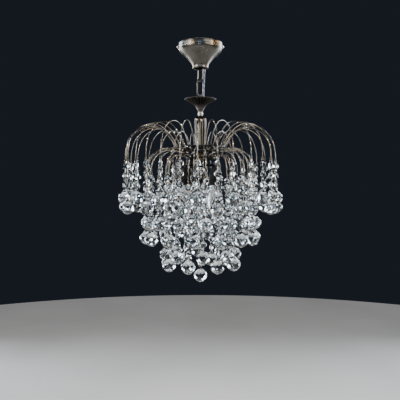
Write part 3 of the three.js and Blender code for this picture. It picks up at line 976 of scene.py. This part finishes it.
def add_suspension_eye():
    """The eye on the coupler, and its shank."""
    eye = Shape()
    wire(eye, oval((0, 0, EYE_Z), 12, 12, math.radians(CROSS_AZIMUTH), 36), 1.75, sides=14, closed=True)
    wire(eye, [(0, 0, RIM_Z - 10), (0, 0, RIM_Z - 6), (0, 0, EYE_Z - 5.2)], [1.9, 1.9, 2.3], sides=16)
    finished(eye, "suspension_eye_ring", PEWTER, "chandelier", "pewter", "suspension_eye")


def add_ceiling_hook():
    """The closed hook inside the cup, and its rod up to the plate."""
    hook = Shape()
    wire(hook, oval((0, 0, HOOK_Z), 13, 13, math.radians(LINK_AZIMUTH), 40), 2.0, sides=14, closed=True)
    rod = [
        (0, -35.6), (2.9, -35.2), (3.0, -34), (3.0, -9.4), (2.7, -8.9), (3.0, -8.4), (3.0, -1.3), (0, -1.3),
    ]
    lathe(hook, rod, 32)
    finished(hook, "ceiling_hook_ring", PEWTER, "ceiling", "pewter", "ceiling_hook")


def add_ceiling_cup():
    """The spun cup that hides the hook and the terminals."""
    cup = Shape()
    outside = [
        (13, -54), (16.2, -54), (17.1, -53.1), (17.2, -51), (16.9, -49.2), (17.8, -46.4), (20, -43),
        (22.8, -39.4), (26.4, -34.8), (31.4, -29.6), (36.8, -24.6), (42, -20), (44.8, -16.8), (46.4, -14),
        (47, -11.6), (46.7, -10.2), (47, -8.8), (47, -0.4),
    ]
    inside = [
        (45.7, -0.4), (45.7, -11.6), (45.1, -13.6), (43.6, -16), (41, -18.8), (35.8, -23.4), (30.4, -28.4),
        (25, -33.8), (21.4, -38.4), (18.8, -42), (16.4, -45.6), (13, -51),
    ]
    lathe(cup, outside + inside, 120)
    finished(cup, "ceiling_cup_spun", PEWTER, "ceiling", "pewter", "ceiling_cup")


def add_ceiling_plate():
    plate = Shape()
    lathe(plate, [(0, -3), (42.4, -3), (42.4, -11), (44.9, -11), (44.9, 0), (0, 0)], 96)
    finished(plate, "ceiling_plate_pressing", DARK_PEWTER, "ceiling", "dark_pewter", "ceiling_plate")


def add_cup_screws():
    """The two screws through the cup's sides into the plate's rim."""
    profile = [
        (0, 0), (1.6, 0.3), (1.6, 5.8), (3.6, 6), (3.7, 6.6), (3.3, 7.9), (2.2, 8.8), (1.2, 9), (1.1, 8.2),
        (0, 8.2),
    ]
    upright = Shape()
    lathe(upright, profile, 32)
    for name, side in (("left", -1), ("right", 1)):
        place = Matrix.Translation((side * 41.4, 0, -7)) @ Matrix.Rotation(side * math.pi / 2, 4, "Y")
        screw = Shape()
        screw.add(transformed(upright.vertices, place), upright.faces)
        finished(screw, f"cup_screw_{name}_head", PIN_METAL, "ceiling", "pewter", f"cup_screw_{name}")


def dress_plain_nodes():
    """The CAD nodes that are shown as they are, with a better material."""
    materials = {
        "hook_nut": PEWTER,
        "terminal_block": WHITE_PLASTIC,
        "stem_tube": PEWTER,
        "inner_wires": WHITE_PLASTIC,
    }
    for node, material in materials.items():
        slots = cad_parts[node].data.materials
        slots.clear()
        slots.append(material)


add_drip_pan()
add_column()
add_column_foot()
add_neck()
add_hub()
add_finial()
add_lamp_arms()
for lamp in range(LAMP_COUNT):
    add_lamp(lamp)
add_links()
add_suspension_eye()
add_ceiling_hook()
add_ceiling_cup()
add_ceiling_plate()
add_cup_screws()
dress_plain_nodes()


# ---------------------------------------------------------------- studio

FLOOR_Z = -0.98  # the studio is in metres
FLOOR_RADIUS = 2.4
FLOOR_THICKNESS = 0.02
FLOOR_EDGE = 4  # in millimetres

MIDDLE_OF_OBJECT = (0, 0, -0.33)
COOL, WARM, WHITE = (0.90, 0.95, 1.0), (1.0, 0.97, 0.92), (1, 1, 1)
AMBER, BLUE = (1.0, 0.62, 0.30), (0.45, 0.68, 1.0)
BOX_SPREAD, SPARKLE_SPREAD = 120, 90
SPARKLE_COUNT = 10

# What the world shows to each kind of ray.
WORLD_REFLECTED = (0.027, 0.030, 0.037, 1)
WORLD_DIFFUSE = (0.32, 0.32, 0.32, 1)
WORLD_SEEN = (0.0170, 0.0205, 0.0285, 1)


def floor_material():
    n = Nodes("pale_floor")
    n.feed(Base_Color=n.ramp(n.noise(2.5, 2, 0.4), (0.3, (0.62, 0.62, 0.62)), (0.7, (0.68, 0.68, 0.68))))
    n.set(Roughness=0.85)
    return n.material


def add_floor():
    shape = Shape()
    low, high, edge = (FLOOR_Z - FLOOR_THICKNESS) / MM, FLOOR_Z / MM, FLOOR_RADIUS / MM
    inner = edge - FLOOR_EDGE
    profile = [
        (0, low), (inner, low), (edge, low + FLOOR_EDGE), (edge, high - FLOOR_EDGE), (inner, high), (0, high),
    ]
    lathe(shape, profile, 160)
    floor = shape.piece("floor", floor_material())


def add_light(name, place, size, power, colour, spread):
    """An area light that looks at the middle of the object and that the camera doesn't see."""
    light = bpy.data.lights.new(name, "AREA")
    light.shape = "RECTANGLE"
    light.size, light.size_y = size
    light.energy = power
    light.color = colour
    light.spread = math.radians(spread)
    obj = bpy.data.objects.new(name, light)
    bpy.context.scene.collection.objects.link(obj)
    obj.location = place
    obj.rotation_euler = (Vector(MIDDLE_OF_OBJECT) - Vector(place)).to_track_quat("-Z", "Y").to_euler()
    obj.visible_camera = False


def around(azimuth, distance, z):
    angle = math.radians(azimuth)
    return (distance * math.cos(angle), distance * math.sin(angle), z)


def add_lights():
    """Tall soft boxes on the diagonals, with the dark gaps between them that cut glass needs, and a soft one
    above. Small lamps among them give the facets their points of light."""
    back, front = (0.7, 1.5), (0.5, 1.1)
    add_light("box_back_right", around(40, 1.6, -0.1), back, 7.5, COOL, BOX_SPREAD)
    add_light("box_back_left", around(140, 1.6, -0.1), back, 7.5, COOL, BOX_SPREAD)
    add_light("box_front_right", around(-35, 1.7, 0.15), front, 2.6, WARM, BOX_SPREAD)
    add_light("box_front_left", around(-145, 1.7, 0.15), front, 3.4, WARM, BOX_SPREAD)
    add_light("box_above", (0, -0.1, 1.2), (0.8, 0.8), 3, WHITE, BOX_SPREAD)
    for index in range(SPARKLE_COUNT):
        place = around(36 * index + 11, 1.5, 0.45 - 0.13 * (index % 4))
        colour = (AMBER, BLUE, WHITE)[index % 3]
        add_light(f"sparkle_{index}", place, (0.06, 0.06), 0.5, colour, SPARKLE_SPREAD)


def add_world():
    """Dark behind the object, with a dim fill for the facets and a soft light for the floor."""
    world = bpy.data.worlds.new("dark_studio")
    bpy.context.scene.world = world
    world.use_nodes = True
    tree = world.node_tree
    background = next(n for n in tree.nodes if n.type == "BACKGROUND")
    rays = tree.nodes.new("ShaderNodeLightPath")
    below = None
    for ray, seen in (("Is Diffuse Ray", WORLD_DIFFUSE), ("Is Camera Ray", WORLD_SEEN)):
        mix = tree.nodes.new("ShaderNodeMix")
        mix.data_type = "RGBA"
        tree.links.new(rays.outputs[ray], mix.inputs["Factor"])
        if below is None:
            mix.inputs[MIX_FIRST].default_value = WORLD_REFLECTED
        else:
            tree.links.new(below, mix.inputs[MIX_FIRST])
        mix.inputs[MIX_SECOND].default_value = seen
        below = mix.outputs[MIX_RESULT]
    tree.links.new(below, background.inputs["Color"])
    background.inputs["Strength"].default_value = 1.0
    bpy.context.scene.view_settings.look = "AgX - Medium High Contrast"


add_floor()
add_lights()
add_world()
